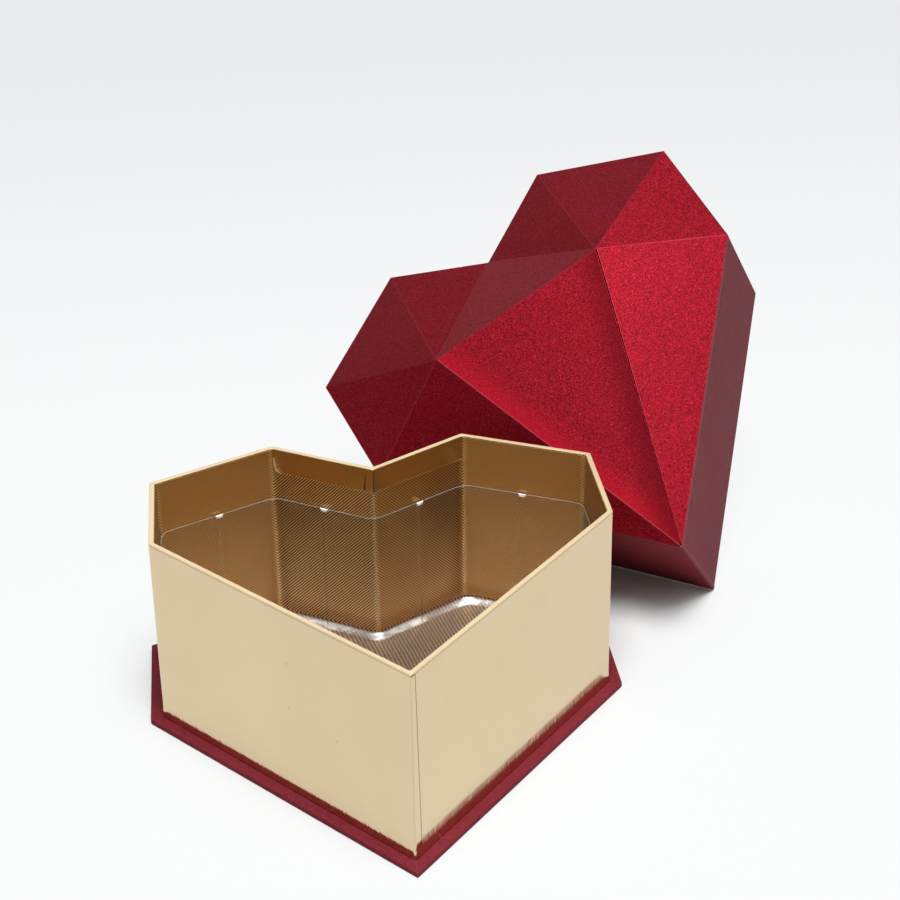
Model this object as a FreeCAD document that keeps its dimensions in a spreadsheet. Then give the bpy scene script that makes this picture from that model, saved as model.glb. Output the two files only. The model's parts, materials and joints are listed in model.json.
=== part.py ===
"""A faceted heart-shaped rigid gift box: a gold box on a red base board, a clear tray
inside it, and a red faceted lid that stands open behind it on one edge of its skirt.

Frame: +Z up, origin on the underside of the base board, under the middle of the heart.
The heart's tip points along -Y and its two lobes along +Y. Millimetres.
"""
import math
import os

import FreeCAD
import Part
import Sketcher

# Driving dimensions: alias, value, what it is.
DIMENSIONS = [
    ("box_notch_y", 28.0, "notch between the lobes, outer face of the gold box"),
    ("box_lobe_x", 44.0, "top corner of a lobe"),
    ("box_lobe_y", 55.5, "top corner of a lobe"),
    ("box_side_x", 100.0, "half the width over the gold box"),
    ("box_upper_y", 27.5, "upper end of the short side"),
    ("box_lower_y", -27.5, "lower end of the short side"),
    ("box_tip_y", -142.0, "tip of the heart"),
    ("lid_notch_y", 35.0, "notch, outer face of the lid"),
    ("lid_lobe_x", 45.2, "top corner of a lobe of the lid"),
    ("lid_lobe_y", 61.0, "top corner of a lobe of the lid"),
    ("lid_side_x", 102.8, "half the width over the lid"),
    ("lid_upper_y", 29.7, "upper end of the lid's short side"),
    ("lid_lower_y", -29.7, "lower end of the lid's short side"),
    ("lid_tip_y", -150.0, "tip of the lid"),
    ("board", 2.0, "greyboard thickness"),
    ("paper", 0.2, "wrapping and lining paper thickness"),
    ("tape", 0.15, "gummed corner tape thickness"),
    ("tape_leg", 10.0, "width of a corner tape on each side of its corner"),
    ("box_height", 88.0, "gold wall, from the base board up to the rim"),
    ("base_border", 5.8, "base board showing around the gold wall"),
    ("base_fold", 16.0, "red paper turned in over the top of the base board"),
    ("rim_fold", 12.0, "gold paper turned down inside the rim"),
    ("tray_depth", 25.0, "top edge of the tray below the rim"),
    ("tray_gap", 0.8, "tray clear of the lined wall at its top edge"),
    ("tray_float", 0.1, "tray clear of the lined floor"),
    ("tray_sheet", 0.4, "clear sheet thickness"),
    ("tray_draft", 4.4, "how far a tray wall leans in from top to foot"),
    ("tray_step", 4.6, "width of the slanted band around the tray's bottom"),
    ("tray_step_height", 2.4, "rise of that band"),
    ("skirt_depth", 69.0, "lid skirt, from the crown's rim to the open edge"),
    ("skirt_fold", 16.0, "red paper turned up inside the skirt"),
    ("crown_edge", 2.8, "height of the crown's wrapped edge above the skirt"),
    ("crown_height", 28.0, "the two peaks above the crown's rim"),
    ("crown_lining_drop", 2.65, "crown lining below the facets, clear of the steepest board"),
    ("lining_lap", 5.0, "crown lining turned down over the skirt lining"),
    ("peak_x", 46.3, "peak to the lid's centre line"),
    ("peak_y", -10.4, "peak along the lid's centre line"),
    ("lid_heading", -33.9, "heading of the edge that the lid stands on, degrees"),
    ("lid_lean", 44.2, "lean of the lid's axis from upright, degrees"),
    ("lid_foot_x", 166.2, "where the tip of the skirt's open edge stands"),
    ("lid_foot_y", 46.1, "where the tip of the skirt's open edge stands"),
]

# The heart's corners, counter-clockwise from the tip: name, side (+1 right, -1 left).
CORNERS = [
    ("tip", 0),
    ("lower", 1),
    ("upper", 1),
    ("lobe", 1),
    ("notch", 0),
    ("lobe", -1),
    ("upper", -1),
    ("lower", -1),
]
WALLS = [
    "tip_right",
    "side_right",
    "shoulder_right",
    "notch_right",
    "notch_left",
    "shoulder_left",
    "side_left",
    "tip_left",
]
# The crown's ten triangles: name and corners, where 0 to 7 are CORNERS and the peaks are named.
FACETS = [
    ("tip_centre", ("peak_left", 0, "peak_right")),
    ("tip_right", (0, 1, "peak_right")),
    ("side_right", (1, 2, "peak_right")),
    ("shoulder_right", (2, 3, "peak_right")),
    ("lobe_right", (3, 4, "peak_right")),
    ("notch_centre", ("peak_right", 4, "peak_left")),
    ("lobe_left", (4, 5, "peak_left")),
    ("shoulder_left", (5, 6, "peak_left")),
    ("side_left", (6, 7, "peak_left")),
    ("tip_left", (7, 0, "peak_left")),
]

doc = FreeCAD.newDocument("heart_gift_box")


def dimension_sheet():
    sheet = doc.addObject("Spreadsheet::Sheet", "Dimensions")
    for row, (alias, value, note) in enumerate(DIMENSIONS, 1):
        sheet.set(f"A{row}", alias)
        sheet.set(f"B{row}", str(value))
        sheet.setAlias(f"B{row}", alias)
        sheet.set(f"C{row}", note)
    return sheet


def corner_x(outline, name):
    """The sheet's expression for a corner's distance from the centre line."""
    if name in ("tip", "notch"):
        return "0"
    return f"Dimensions.{outline}_{'lobe' if name == 'lobe' else 'side'}_x"


def corner_y(outline, name):
    return f"Dimensions.{outline}_{name}_y"


def mitre_sheet():
    """How far each corner of an outline moves in X and Y when its sides move out by 1.

    With n and m the outward normals of the two sides, the move is (n + m) / (1 + n.m).
    """
    sheet = doc.addObject("Spreadsheet::Sheet", "Mitres")
    rows = iter(range(1, 100))

    def derive(alias, formula):
        row = next(rows)
        sheet.set(f"A{row}", alias)
        sheet.set(f"B{row}", f"={formula}")
        sheet.setAlias(f"B{row}", alias)

    names = [name for name, side in CORNERS[:5]]
    for outline in ("box", "lid"):
        for a, b in zip(names, names[1:]):
            dx = f"({corner_x(outline, b)} - {corner_x(outline, a)})"
            dy = f"({corner_y(outline, b)} - {corner_y(outline, a)})"
            length = f"sqrt({dx} * {dx} + {dy} * {dy})"
            derive(f"{outline}_{a}_side_nx", f"{dy} / {length}")
            derive(f"{outline}_{a}_side_ny", f"0 - {dx} / {length}")
        for a, b in zip(names, names[1:-1]):
            n, m = f"{outline}_{a}_side", f"{outline}_{b}_side"
            share = f"(1 + {n}_nx * {m}_nx + {n}_ny * {m}_ny)"
            derive(f"{outline}_{b}_mitre_x", f"({n}_nx + {m}_nx) / {share}")
            derive(f"{outline}_{b}_mitre_y", f"({n}_ny + {m}_ny) / {share}")
        for end, side in (("tip", "tip"), ("notch", "lobe")):
            derive(f"{outline}_{end}_mitre_x", "0")
            derive(f"{outline}_{end}_mitre_y", f"1 / {outline}_{side}_side_ny")


sheet = dimension_sheet()
mitre_sheet()
doc.recompute()


def value(expression):
    return float(sheet.evalExpression(expression))


def dim(alias):
    return float(sheet.get(alias))


def corner(outline, number, offset):
    """Expressions for a corner's X and Y, with the outline moved out by offset."""
    name, side = CORNERS[number % len(CORNERS)]
    x = f"{side} * ({corner_x(outline, name)} + ({offset}) * Mitres.{outline}_{name}_mitre_x)"
    y = f"{corner_y(outline, name)} + ({offset}) * Mitres.{outline}_{name}_mitre_y"
    return x, y


def outline_loop(outline, offset):
    return [corner(outline, number, offset) for number in range(len(CORNERS))]


def wall_loop(outline, number, outer, inner):
    """One side of the ring between two offsets, mitred at both ends."""
    return [
        corner(outline, number, outer),
        corner(outline, number + 1, outer),
        corner(outline, number + 1, inner),
        corner(outline, number, inner),
    ]


def new_body(label, placement=None):
    body = doc.addObject("PartDesign::Body", label)
    body.Label = label
    body.AllowCompound = True
    if placement:
        body.Placement = placement
    return body


def sketch_loops(body, name, loops, level):
    """A sketch of closed polygons in the body's XY plane, at a height above it."""
    sketch = body.newObject("Sketcher::SketchObject", name)
    plane = [f for f in body.Origin.OriginFeatures if f.Role == "XY_Plane"][0]
    sketch.AttachmentSupport = (plane, "")
    sketch.MapMode = "FlatFace"
    sketch.setExpression("AttachmentOffset.Base.z", level)
    for loop in loops:
        first = sketch.GeometryCount
        points = [FreeCAD.Vector(value(x), value(y), 0) for x, y in loop]
        for start, end in zip(points, points[1:] + points[:1]):
            sketch.addGeometry(Part.LineSegment(start, end), False)
        for k, (x, y) in enumerate(loop):
            line, following = first + k, first + (k + 1) % len(loop)
            sketch.addConstraint(Sketcher.Constraint("Coincident", line, 2, following, 1))
            for kind, text, at in (("DistanceX", x, points[k].x), ("DistanceY", y, points[k].y)):
                number = sketch.addConstraint(Sketcher.Constraint(kind, -1, 1, line, 1, at))
                sketch.setExpression(f"Constraints[{number}]", text)
    return sketch


def add_pad(body, name, loops, level, height):
    pad = body.newObject("PartDesign::Pad", name)
    pad.Profile = sketch_loops(body, f"{name}_sketch", loops, level)
    pad.setExpression("Length", height)
    body.Tip = pad


def padded_ring(body, name, outline, outer, inner, level, height):
    add_pad(body, name, [outline_loop(outline, outer), outline_loop(outline, inner)], level, height)


def lofted(body, kind, name, outline, sections):
    """A loft through the outline at two or more (offset, level) pairs."""
    sketches = [
        sketch_loops(body, f"{name}_sketch{k}", [outline_loop(outline, offset)], level)
        for k, (offset, level) in enumerate(sections)
    ]
    loft = body.newObject(f"PartDesign::{kind}Loft", name)
    loft.Profile = sketches[0]
    loft.Sections = sketches[1:]
    loft.Ruled = True
    body.Tip = loft


# Layers of the walls, as offsets from the outer face of each outline.
BOARD_OUT = "0 - Dimensions.paper"
BOARD_IN = "0 - Dimensions.paper - Dimensions.board"
FOLD_IN = "0 - 2 * Dimensions.paper - Dimensions.board"
TAPE_IN = "0 - Dimensions.paper - Dimensions.board - Dimensions.tape"
LINING_IN = "0 - 2 * Dimensions.paper - Dimensions.board - Dimensions.tape"
# Levels above the base board's underside.
BASE_TOP = "(Dimensions.board + 2 * Dimensions.paper)"
RIM = f"({BASE_TOP} + Dimensions.box_height)"
FLOOR_TOP = f"({BASE_TOP} + Dimensions.board)"
FLOOR_LINED = f"({FLOOR_TOP} + Dimensions.paper)"
FOLD_END = f"({RIM} - Dimensions.rim_fold)"
# Levels in the lid's own frame, whose XY plane holds the crown's rim.
OPEN_EDGE = "(0 - Dimensions.skirt_depth)"
SKIRT_TOP = "(0 - Dimensions.crown_edge)"
SKIRT_FOLD_END = f"({OPEN_EDGE} + Dimensions.skirt_fold)"


def base_board():
    body = new_body("base_board")
    loop = outline_loop("box", "Dimensions.base_border - Dimensions.paper")
    add_pad(body, "board_blank", [loop], "Dimensions.paper", "Dimensions.board")


def base_wrap():
    """Red paper under the base board, up its edge and turned in over its top."""
    body = new_body("base_wrap")
    border, paper = "Dimensions.base_border", "Dimensions.paper"
    add_pad(body, "under", [outline_loop("box", border)], "0", paper)
    padded_ring(body, "edge", "box", border, f"{border} - {paper}", paper, "Dimensions.board")
    inner = f"{border} - Dimensions.base_fold"
    padded_ring(body, "turned_in", "box", border, inner, f"{BASE_TOP} - {paper}", paper)


def wall_boards(prefix, outline, level, height, placement=None):
    for number, name in enumerate(WALLS):
        body = new_body(f"{prefix}_wall_{name}", placement)
        blank = wall_loop(outline, number, BOARD_OUT, BOARD_IN)
        add_pad(body, f"{prefix}_{name}_blank", [blank], level, height)


def corner_tapes(label, outline, level, height, placement=None):
    """Gummed tape in the eight inner corners, a V of two legs in each."""
    body = new_body(label, placement)
    loops = [tape_loop(outline, number) for number in range(len(CORNERS))]
    add_pad(body, f"{label}_strips", loops, level, height)


def tape_loop(outline, number):
    """The V of tape in one corner: its outer and inner bends, and the four ends of its legs."""

    def leg_end(offset, other):
        (x, y), (far_x, far_y) = corner(outline, number, offset), corner(outline, other, offset)
        run = f"sqrt(pow({far_x} - ({x}); 2) + pow({far_y} - ({y}); 2))"
        share = f"Dimensions.tape_leg / {run}"
        return f"{x} + ({far_x} - ({x})) * {share}", f"{y} + ({far_y} - ({y})) * {share}"

    return [
        leg_end(BOARD_IN, number - 1),
        corner(outline, number, BOARD_IN),
        leg_end(BOARD_IN, number + 1),
        leg_end(TAPE_IN, number + 1),
        corner(outline, number, TAPE_IN),
        leg_end(TAPE_IN, number - 1),
    ]


def box_floor_board():
    body = new_body("box_floor_board")
    add_pad(body, "floor_blank", [outline_loop("box", BOARD_IN)], BASE_TOP, "Dimensions.board")


def box_wrap():
    """Gold paper up the outside of the walls, over the rim and down inside it."""
    body = new_body("box_wrap")
    skin = "Dimensions.box_height - Dimensions.paper"
    padded_ring(body, "outer_face", "box", "0", BOARD_OUT, BASE_TOP, skin)
    padded_ring(body, "rim_top", "box", "0", FOLD_IN, f"{RIM} - Dimensions.paper", "Dimensions.paper")
    fold = "Dimensions.rim_fold - Dimensions.paper"
    padded_ring(body, "inner_fold", "box", BOARD_IN, FOLD_IN, FOLD_END, fold)


def box_linings():
    """Ribbed gold paper on the inner walls, up to the rim fold, and on the floor."""
    body = new_body("box_wall_lining")
    padded_ring(body, "wall_sheet", "box", TAPE_IN, LINING_IN, FLOOR_TOP, f"{FOLD_END} - {FLOOR_TOP}")
    body = new_body("box_floor_lining")
    add_pad(body, "floor_sheet", [outline_loop("box", LINING_IN)], FLOOR_TOP, "Dimensions.paper")


def clear_tray():
    """A thermoformed tray: walls that lean in, a slanted band and a flat bottom."""
    body = new_body("clear_tray")
    sheet_in = "Dimensions.tray_sheet"
    top = f"({LINING_IN} - Dimensions.tray_gap)"
    foot = f"({top} - Dimensions.tray_draft)"
    bottom = f"({foot} - Dimensions.tray_step)"
    low = f"({FLOOR_LINED} + Dimensions.tray_float)"
    knee = f"({low} + Dimensions.tray_step_height)"
    high = f"({RIM} - Dimensions.tray_depth)"
    lofted(body, "Additive", "outer_band", "box", [(bottom, low), (foot, knee)])
    lofted(body, "Additive", "outer_walls", "box", [(foot, knee), (top, high)])
    inner_bottom = (f"{bottom} - {sheet_in}", f"{low} + {sheet_in}")
    inner_knee = (f"{foot} - {sheet_in}", f"{knee} + {sheet_in}")
    inner_top = (f"{top} - {sheet_in}", high)
    lofted(body, "Subtractive", "inner_band", "box", [inner_bottom, inner_knee])
    lofted(body, "Subtractive", "inner_walls", "box", [inner_knee, inner_top])


def lid_placement():
    """The lid stands on the open edge of its left tip side: that edge is turned along X,
    the lid leans about it, and the edge is turned to its heading on the floor."""
    edge = math.atan2(dim("lid_tip_y") - dim("lid_lower_y"), dim("lid_side_x"))
    turn = FreeCAD.Rotation(FreeCAD.Vector(0, 0, 1), -math.degrees(edge))
    lean = FreeCAD.Rotation(FreeCAD.Vector(1, 0, 0), dim("lid_lean"))
    head = FreeCAD.Rotation(FreeCAD.Vector(0, 0, 1), dim("lid_heading"))
    rotation = head * lean * turn
    tip = FreeCAD.Vector(0, dim("lid_tip_y"), -dim("skirt_depth"))
    foot = FreeCAD.Vector(dim("lid_foot_x"), dim("lid_foot_y"), 0)
    return FreeCAD.Placement(foot - rotation.multVec(tip), rotation)


def skirt_wrap(placement):
    """Red paper up the outside of the skirt, round its open edge and turned up inside."""
    body = new_body("skirt_wrap", placement)
    padded_ring(body, "skirt_face", "lid", "0", BOARD_OUT, OPEN_EDGE, f"{SKIRT_TOP} - {OPEN_EDGE}")
    padded_ring(body, "edge_strip", "lid", "0", FOLD_IN, OPEN_EDGE, "Dimensions.paper")
    padded_ring(body, "skirt_fold", "lid", BOARD_IN, FOLD_IN, OPEN_EDGE, "Dimensions.skirt_fold")


def skirt_lining(placement):
    body = new_body("skirt_lining", placement)
    height = f"{SKIRT_TOP} - {SKIRT_FOLD_END}"
    padded_ring(body, "skirt_sheet", "lid", TAPE_IN, LINING_IN, SKIRT_FOLD_END, height)


def polygon_face(points):
    return Part.Face(Part.makePolygon(points + points[:1]))


def lid_column(offset, bottom, top):
    """The upright column over the lid's outline moved out by offset."""
    corners = outline_loop("lid", offset)
    face = polygon_face([FreeCAD.Vector(value(x), value(y), bottom) for x, y in corners])
    return face.extrude(FreeCAD.Vector(0, 0, top - bottom))


def crown_point(name):
    if name in ("peak_left", "peak_right"):
        side = 1 if name == "peak_right" else -1
        return FreeCAD.Vector(side * dim("peak_x"), dim("peak_y"), dim("crown_height"))
    x, y = corner("lid", name, "0")
    return FreeCAD.Vector(value(x), value(y), 0)


def crown_solid(drop, bottom):
    """Everything under the ten facets lowered by drop, down to a flat bottom."""
    down = FreeCAD.Vector(0, 0, -drop)
    faces = [polygon_face([crown_point(name) + down for name in corners]) for _, corners in FACETS]
    rim = [crown_point(number) for number in range(len(CORNERS))]
    foot = [FreeCAD.Vector(point.x, point.y, bottom) for point in rim]
    for k in range(len(CORNERS)):
        faces.append(polygon_face([rim[k - 1] + down, foot[k - 1], foot[k], rim[k] + down]))
    faces.append(polygon_face(foot[::-1]))
    return Part.makeSolid(Part.makeShell(faces))


def lid_feature(label, shape, placement):
    """A faceted piece of the crown, whose faces meet at compound angles."""
    feature = doc.addObject("Part::Feature", label)
    feature.Label = label
    feature.Shape = shape
    feature.Placement = placement


def crown_boards(placement):
    """Ten triangular boards with upright edges, so that neighbours meet along each ridge.

    Square to its face, each lies one paper below it and is one board thick.
    """
    paper, board, height = dim("paper"), dim("board"), dim("crown_height")
    column = lid_column(BOARD_OUT, -height, 2 * height)
    for name, corners in FACETS:
        flat = [crown_point(corner_name) for corner_name in corners]
        normal = (flat[1] - flat[0]).cross(flat[2] - flat[0]).normalize()
        top = [point - FreeCAD.Vector(0, 0, paper / normal.z) for point in flat]
        plate = polygon_face(top).extrude(FreeCAD.Vector(0, 0, -board / normal.z))
        lid_feature(f"crown_board_{name}", plate.common(column).Solids[0], placement)


def crown_wrap(placement):
    """Red paper over the facets and down the edge of the crown, to the top of the skirt."""
    paper, edge, height = dim("paper"), dim("crown_edge"), dim("crown_height")
    inside = crown_solid(paper, -edge - paper).common(lid_column(BOARD_OUT, -edge - paper, height))
    lid_feature("crown_wrap", crown_solid(0, -edge).cut(inside).Solids[0], placement)


def crown_lining(placement):
    """Lining paper under the boards, turned down inside the lined skirt."""
    paper, height = dim("paper"), dim("crown_height")
    drop, bottom = dim("crown_lining_drop"), -dim("crown_edge") - dim("lining_lap")
    outer = crown_solid(drop, bottom).common(lid_column(LINING_IN, bottom, height))
    column = lid_column(f"{LINING_IN} - Dimensions.paper", bottom - paper, height)
    inner = crown_solid(drop + paper, bottom - paper).common(column)
    lid_feature("crown_lining", outer.cut(inner).Solids[0], placement)


def check_and_write():
    """Stop if any object failed, then write each sub-part to parts/LABEL.step."""
    doc.recompute()
    failed = [o.Name for o in doc.Objects if {"Invalid", "Error"} & set(o.State)]
    if failed:
        raise RuntimeError(f"these objects failed: {failed}")
    pieces = [o for o in doc.Objects if o.TypeId in ("PartDesign::Body", "Part::Feature")]
    for piece in pieces:
        if piece.Shape.isNull() or not piece.Shape.isValid() or not piece.Shape.Solids:
            raise RuntimeError(f"{piece.Label} has no valid shape")
    os.makedirs("parts", exist_ok=True)
    for piece in pieces:
        piece.Shape.exportStep(f"parts/{piece.Label}.step")
        print(f"{piece.Label}: {len(piece.Shape.Solids)} solids, {piece.Shape.Volume / 1000:.2f} cm3")


# The base and the gold box.
base_board()
base_wrap()
box_floor_board()
wall_boards("box", "box", BASE_TOP, "Dimensions.box_height - Dimensions.paper")
corner_tapes("box_corner_tapes", "box", FLOOR_TOP, f"{FOLD_END} - {FLOOR_TOP}")
box_wrap()
box_linings()
clear_tray()
# The lid, leaning behind the box.
leaning = lid_placement()
skirt_foot = f"{OPEN_EDGE} + Dimensions.paper"
wall_boards("skirt", "lid", skirt_foot, f"{SKIRT_TOP} - ({skirt_foot})", leaning)
corner_tapes("skirt_corner_tapes", "lid", SKIRT_FOLD_END, f"{SKIRT_TOP} - {SKIRT_FOLD_END}", leaning)
skirt_wrap(leaning)
skirt_lining(leaning)
crown_boards(leaning)
crown_wrap(leaning)
crown_lining(leaning)
check_and_write()
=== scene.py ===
"""Looks of a heart-shaped gift box: gold foil box on a wine-red base, clear tray inside,
and a faceted pearl-red lid leaning behind it."""
import json
import math

import bpy
import numpy as np
from mathutils import Matrix, Vector


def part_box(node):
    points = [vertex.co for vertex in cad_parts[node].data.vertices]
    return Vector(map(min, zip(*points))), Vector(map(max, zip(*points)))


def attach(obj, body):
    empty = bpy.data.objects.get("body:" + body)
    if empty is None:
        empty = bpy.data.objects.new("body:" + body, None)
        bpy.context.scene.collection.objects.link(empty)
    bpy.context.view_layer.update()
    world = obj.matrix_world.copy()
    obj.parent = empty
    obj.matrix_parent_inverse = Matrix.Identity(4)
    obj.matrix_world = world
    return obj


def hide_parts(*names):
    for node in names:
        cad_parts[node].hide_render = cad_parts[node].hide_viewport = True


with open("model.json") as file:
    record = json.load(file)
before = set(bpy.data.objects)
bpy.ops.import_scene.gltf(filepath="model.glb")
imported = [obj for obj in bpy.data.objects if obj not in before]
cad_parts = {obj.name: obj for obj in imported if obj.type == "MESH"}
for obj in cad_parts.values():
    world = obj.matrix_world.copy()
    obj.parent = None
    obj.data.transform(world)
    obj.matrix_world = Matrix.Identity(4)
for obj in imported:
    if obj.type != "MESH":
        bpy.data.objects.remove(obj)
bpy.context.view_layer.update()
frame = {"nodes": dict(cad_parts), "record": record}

# Sizes in millimetres; make_piece() turns points into metres.
MM = 0.001
# Corners of each heart's outer face, counter-clockwise from the tip.
BOX_HEART = np.array([
    (0, -142), (100, -27.5), (100, 27.5), (44, 55.5),
    (0, 28), (-44, 55.5), (-100, 27.5), (-100, -27.5),
], float)
LID_HEART = np.array([
    (0, -150), (102.8, -29.7), (102.8, 29.7), (45.2, 61),
    (0, 35), (-45.2, 61), (-102.8, 29.7), (-102.8, -29.7),
], float)
# Some of those corners by number, and how many there are.
TIP, RIGHT_SHOULDER, NOTCH, LEFT_SHOULDER = 0, 3, 4, 5
SIDES = len(BOX_HEART)
PAPER = 0.2
BOARD = 2.0
WALL = BOARD + 2 * PAPER
BASE_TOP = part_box("base_wrap")[1].z / MM
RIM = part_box("box_wrap")[1].z / MM
BASE_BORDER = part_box("base_wrap")[1].x / MM - BOX_HEART[1, 0]
TRAY_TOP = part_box("clear_tray")[1].z / MM
TRAY_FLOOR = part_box("clear_tray")[0].z / MM
# How far the foil turns in below the rim, how far papers turn in elsewhere, and the gap
# between a lining and its wall.
TURN_IN = 12.0
WIDE_TURN_IN = 16.0
GLUE = 0.15
# The lid: the depth of its skirt, the heights of the crown's upright edge and of its two peaks,
# and where the right peak lies in plan. Then its lean and its heading in degrees, and the
# point on the floor where the tip end of its open edge stands.
SKIRT_DEPTH = 69.0
CROWN_EDGE = 2.8
CROWN_HEIGHT = 28.0
PEAK = (46.3, -10.4)
LEAN, HEADING = 44.2, -33.9
LID_FOOT = (166.2, 46.1, 0.0)
# Stations at each corner of a heart, its two guards included, and how far a guard lies past
# the end of a curve, as a share of the curve's reach.
CORNER_STEPS = 9
GUARD = 0.3
# Where stations lie on a plain side, from its middle.
PLAIN = (-20, 0, 20)
# A distance far from any seam or ridge.
FAR = 9.0


# ---------------------------------------------------------------- shapes


def lid_frame():
    """Rotation and shift of the leaning lid, whose own XY plane holds the crown's rim.

    The open edge of its left tip side is turned along X, the lid leans about it, the edge
    is turned to its heading, and its tip end is put on its foot point on the floor.
    """
    edge = math.atan2(LID_HEART[0, 1] - LID_HEART[1, 1], LID_HEART[1, 0])
    rotation = np.array(
        Matrix.Rotation(math.radians(HEADING), 3, "Z")
        @ Matrix.Rotation(math.radians(LEAN), 3, "X")
        @ Matrix.Rotation(-edge, 3, "Z")
    )
    return rotation, np.array(LID_FOOT) - rotation @ np.array((0, LID_HEART[TIP, 1], -SKIRT_DEPTH))


LID_TURN, LID_SHIFT = lid_frame()


def upright(points):
    """The box's own frame, which is the scene's."""
    return points


def leaning(points):
    """Points of the lid's own frame, put where the lid leans."""
    return points @ LID_TURN.T + LID_SHIFT


def unit(vectors):
    return vectors / np.linalg.norm(vectors, axis=-1, keepdims=True)


def side_normals(heart):
    """Outward normal (dy, -dx) / length of the side after each corner."""
    along = unit(np.roll(heart, -1, 0) - heart)
    return np.stack((along[:, 1], -along[:, 0]), 1)


def mitres(heart):
    """How far each corner moves when the sides move out by 1: (n + m) / (1 + n.m)."""
    n, m = np.roll(side_normals(heart), 1, 0), side_normals(heart)
    return (n + m) / (1 + (n * m).sum(1, keepdims=True))


def ring(heart, offset, bend, marks, press=0.0):
    """Stations round a heart whose sides are moved out by offset.

    Each corner c is the parabola (1-t)^2 p + 2t(1-t) c + t^2 q between the points p and q
    that lie bend from it on its two sides, with a guard point on the flat just past each.
    The stations between corners lie at marks, distances from the middle of a side, and
    press moves each of them inwards.
    """
    corners = heart + offset * mitres(heart)
    following, previous = np.roll(corners, -1, 0), np.roll(corners, 1, 0)
    back, ahead = unit(previous - corners)[:, None], unit(following - corners)[:, None]
    centre = corners[:, None]
    p, q = centre + bend * back, centre + bend * ahead
    t = np.linspace(0, 1, CORNER_STEPS - 2)[None, :, None]
    bends = (1 - t) ** 2 * p + 2 * t * (1 - t) * centre + t**2 * q
    bends = np.concatenate((p + GUARD * bend * back, bends, q + GUARD * bend * ahead), 1)
    middle = (corners + following) / 2
    along, normal = unit(following - corners), side_normals(heart)
    marks, press = np.asarray(marks, float), np.broadcast_to(press, (len(marks),))
    straight = middle[:, None] + marks[None, :, None] * along[:, None]
    straight = straight - press[None, :, None] * normal[:, None]
    return np.concatenate((bends, straight), 1).reshape(-1, 2)


def from_tip(stations):
    """Distance of each station from the tip, measured round the heart the shorter way."""
    steps = np.linalg.norm(np.roll(stations, -1, 0) - stations, axis=1)
    run = np.concatenate(([0], np.cumsum(steps)))
    middle = run[CORNER_STEPS // 2]
    along = np.abs(run[:-1] - middle)
    return np.minimum(along, run[-1] - along)


def to_corner(heart, marks):
    """Distance of each station from its nearest corner, 0 in the middle of a bend."""
    lengths = np.linalg.norm(np.roll(heart, -1, 0) - heart, axis=1)
    bend = np.abs(np.linspace(-1, 1, CORNER_STEPS))
    straight = lengths[:, None] / 2 - np.abs(np.asarray(marks, float))[None]
    return np.concatenate((np.tile(bend, (len(heart), 1)), straight), 1).ravel()


def softened(profile, steps=5):
    """A profile of (offset, height, reach) whose corners are parabolas of that reach, each with
    a guard point on the flat past either end. A corner of no reach stays one point."""
    points = np.array([row[:2] for row in profile], float)
    reach = np.array([row[2] for row in profile], float)[:, None, None]
    centre = points[:, None]
    back = unit(np.roll(points, 1, 0) - points)[:, None]
    ahead = unit(np.roll(points, -1, 0) - points)[:, None]
    t = np.linspace(0, 1, steps)[None, :, None]
    p, q = centre + reach * back, centre + reach * ahead
    curves = (1 - t) ** 2 * p + 2 * t * (1 - t) * centre + t**2 * q
    curves = np.concatenate((p + GUARD * reach * back, curves, q + GUARD * reach * ahead), 1)
    kept = (reach[:, :, 0] > 0) | (np.arange(steps + 2)[None] == 0)
    return curves[kept]


def volume(points, faces):
    """Signed volume inside quads: the sum of a.(b x c) + a.(c x d), over 6."""
    a, b, c, d = (points[faces[:, k]] for k in range(4))
    return (a * (np.cross(b, c) + np.cross(c, d))).sum() / 6


def grid_faces(rows, columns, closed_rows=True):
    """Quads between neighbouring rows and columns of a grid whose columns close up."""
    r = np.arange(rows if closed_rows else rows - 1)[:, None]
    c = np.arange(columns)[None]
    r2, c2 = (r + 1) % rows, (c + 1) % columns
    corners = (r * columns + c, r * columns + c2, r2 * columns + c2, r2 * columns + c)
    return np.stack(np.broadcast_arrays(*corners), -1).reshape(-1, 4)


def prism_faces(count, first=0):
    """The sides and both ends of a prism: a ring of count points, then the same one moved."""
    sides = grid_faces(2, count, closed_rows=False) + first
    low, high = range(first, first + count), range(first + count, first + 2 * count)
    return sides.tolist() + [list(low)[::-1], list(high)]


def facing_out(points, faces):
    """The faces, turned over if they enclose a negative volume."""
    return faces[:, ::-1] if volume(points, faces) < 0 else faces


def store(mesh, field, domain, values):
    """Keep a number for each point, edge or face of a mesh, under a name."""
    attribute = mesh.attributes.new(field, "FLOAT", domain)
    attribute.data.foreach_set("value", values.astype(np.float32).ravel())


def make_piece(name, points, faces, body, material, replaces=(), smooth=True, fields=None,
               uv=None):
    """A mesh object at the origin from points in millimetres and lists of faces."""
    mesh = bpy.data.meshes.new(name)
    mesh.from_pydata((points * MM).tolist(), [], faces)
    for field, values in (fields or {}).items():
        store(mesh, field, "POINT", values)
    if uv is not None:
        corners = np.zeros(len(mesh.loops), np.int32)
        mesh.loops.foreach_get("vertex_index", corners)
        uv = (uv[corners] * MM).astype(np.float32).ravel()
        mesh.uv_layers.new(name="UVMap").data.foreach_set("uv", uv)
    mesh.polygons.foreach_set("use_smooth", np.full(len(mesh.polygons), smooth))
    if smooth:
        mesh.set_sharp_from_angle(angle=math.radians(35))
    mesh.materials.append(material)
    piece = bpy.data.objects.new(name, mesh)
    bpy.context.scene.collection.objects.link(piece)
    if body is None:
        return piece
    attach(piece, body)
    if replaces:
        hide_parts(*replaces)
    return piece


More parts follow.
